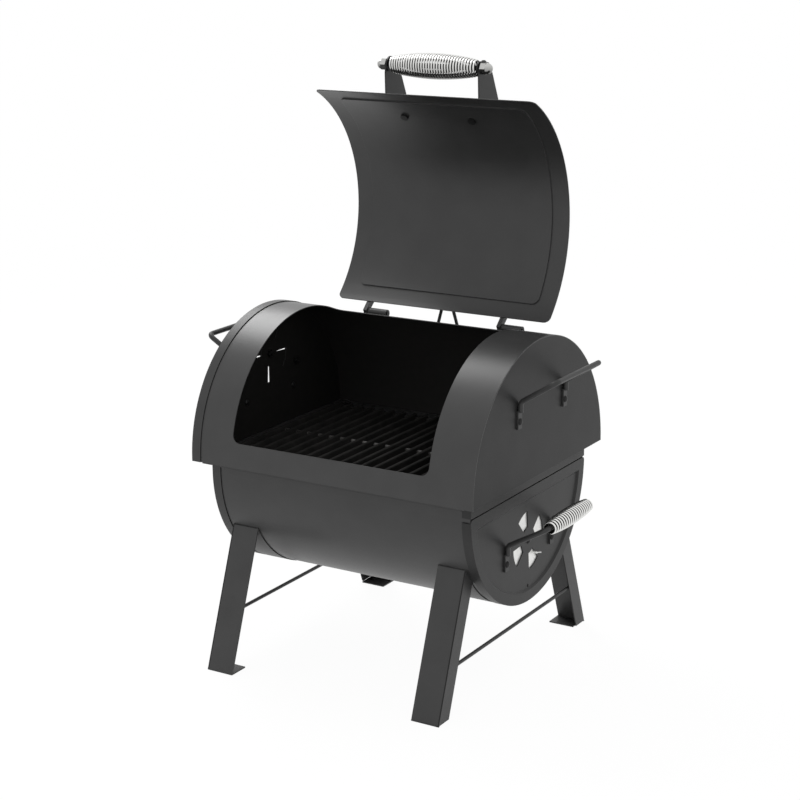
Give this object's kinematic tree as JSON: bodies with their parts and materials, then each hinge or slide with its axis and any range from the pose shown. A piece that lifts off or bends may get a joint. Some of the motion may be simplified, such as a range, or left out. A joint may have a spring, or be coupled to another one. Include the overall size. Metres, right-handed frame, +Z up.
{
  "type": "offset smoker",
  "caption": "Barrel grill and side fire box with an open hinged lid, coil-grip handles, air dampers, angled legs and a sliding ash drawer.",
  "frame": {"origin": "on the ground under the middle of the grill", "axes": "+X along the barrel towards the drawer, +Y to the back where the lid is hinged, +Z up"},
  "size_m": [0.6205, 0.473, 0.923],
  "materials": {
    "black_steel": "satin high-heat black paint",
    "cast_iron": "seasoned black casting",
    "bright_steel": "bright nickel plate",
    "zinc_steel": "zinc-plated sheet",
    "blackened_steel": "black oxide",
    "pan_steel": "plain sheet steel"
  },
  "bodies": {
    "frame": {"hood_shell": "black_steel", "hood_left_end": "black_steel", "hood_right_end": "black_steel", "rim_rail_front": "black_steel", "rim_rail_back": "black_steel", "lower_barrel": "black_steel", "barrel_left_end": "black_steel", "cross_strip": "black_steel", "grate_support_front": "pan_steel", "grate_support_back": "pan_steel", "drawer_rails": "pan_steel", "grate_left": "cast_iron", "grate_right": "cast_iron", "leg_front_left": "black_steel", "leg_front_right": "black_steel", "leg_back_left": "black_steel", "leg_back_right": "black_steel", "leg_saddle_left": "black_steel", "leg_saddle_right": "black_steel", "leg_brace_left": "black_steel", "leg_brace_right": "black_steel", "hood_handle_left": "black_steel", "hood_handle_right": "black_steel", "hood_handle_bolts": "blackened_steel", "hinge_base_left": "black_steel", "hinge_base_right": "black_steel", "hinge_pin_left": "blackened_steel", "hinge_pin_right": "blackened_steel", "lid_stop": "black_steel", "hood_damper_pivot": "blackened_steel", "hood_end_bolts": "blackened_steel"},
    "lid": {"lid_panel": "black_steel", "hinge_arm_left": "black_steel", "hinge_arm_right": "black_steel", "lid_bracket_left": "black_steel", "lid_bracket_right": "black_steel", "lid_bracket_bolts": "blackened_steel", "lid_handle_rod": "bright_steel", "lid_grip_coil": "bright_steel", "lid_handle_washers": "blackened_steel", "lid_acorn_nuts": "bright_steel"},
    "drawer": {"drawer_front": "black_steel", "ash_pan": "pan_steel", "ash_pan_back": "pan_steel", "ash_pan_ledges": "pan_steel", "charcoal_grate": "cast_iron", "drawer_handle": "black_steel", "drawer_handle_bolts": "blackened_steel", "drawer_grip_coil": "bright_steel", "drawer_damper_pivot": "blackened_steel", "drawer_rivet": "blackened_steel"},
    "front_damper": {"drawer_damper": "zinc_steel"},
    "end_damper": {"hood_damper": "black_steel"}
  },
  "joints": [
    {"name": "lid_hinge", "type": "hinge", "parent": "frame", "child": "lid", "pos_m": [0, 0.1208, 0.5056], "axis": [1, 0, 0], "range_deg": [0, 107]},
    {"name": "drawer_slide", "type": "slide", "parent": "frame", "child": "drawer", "axis": [1, 0, 0], "range_m": [0, 0.23]},
    {"name": "front_damper_turn", "type": "hinge", "parent": "drawer", "child": "front_damper", "pos_m": [0.223, 0, 0.2155], "axis": [1, 0, 0], "range_deg": [-30, 0]},
    {"name": "end_damper_turn", "type": "hinge", "parent": "frame", "child": "end_damper", "pos_m": [-0.245, 0, 0.448], "axis": [1, 0, 0], "range_deg": [-36, 0]}
  ]
}
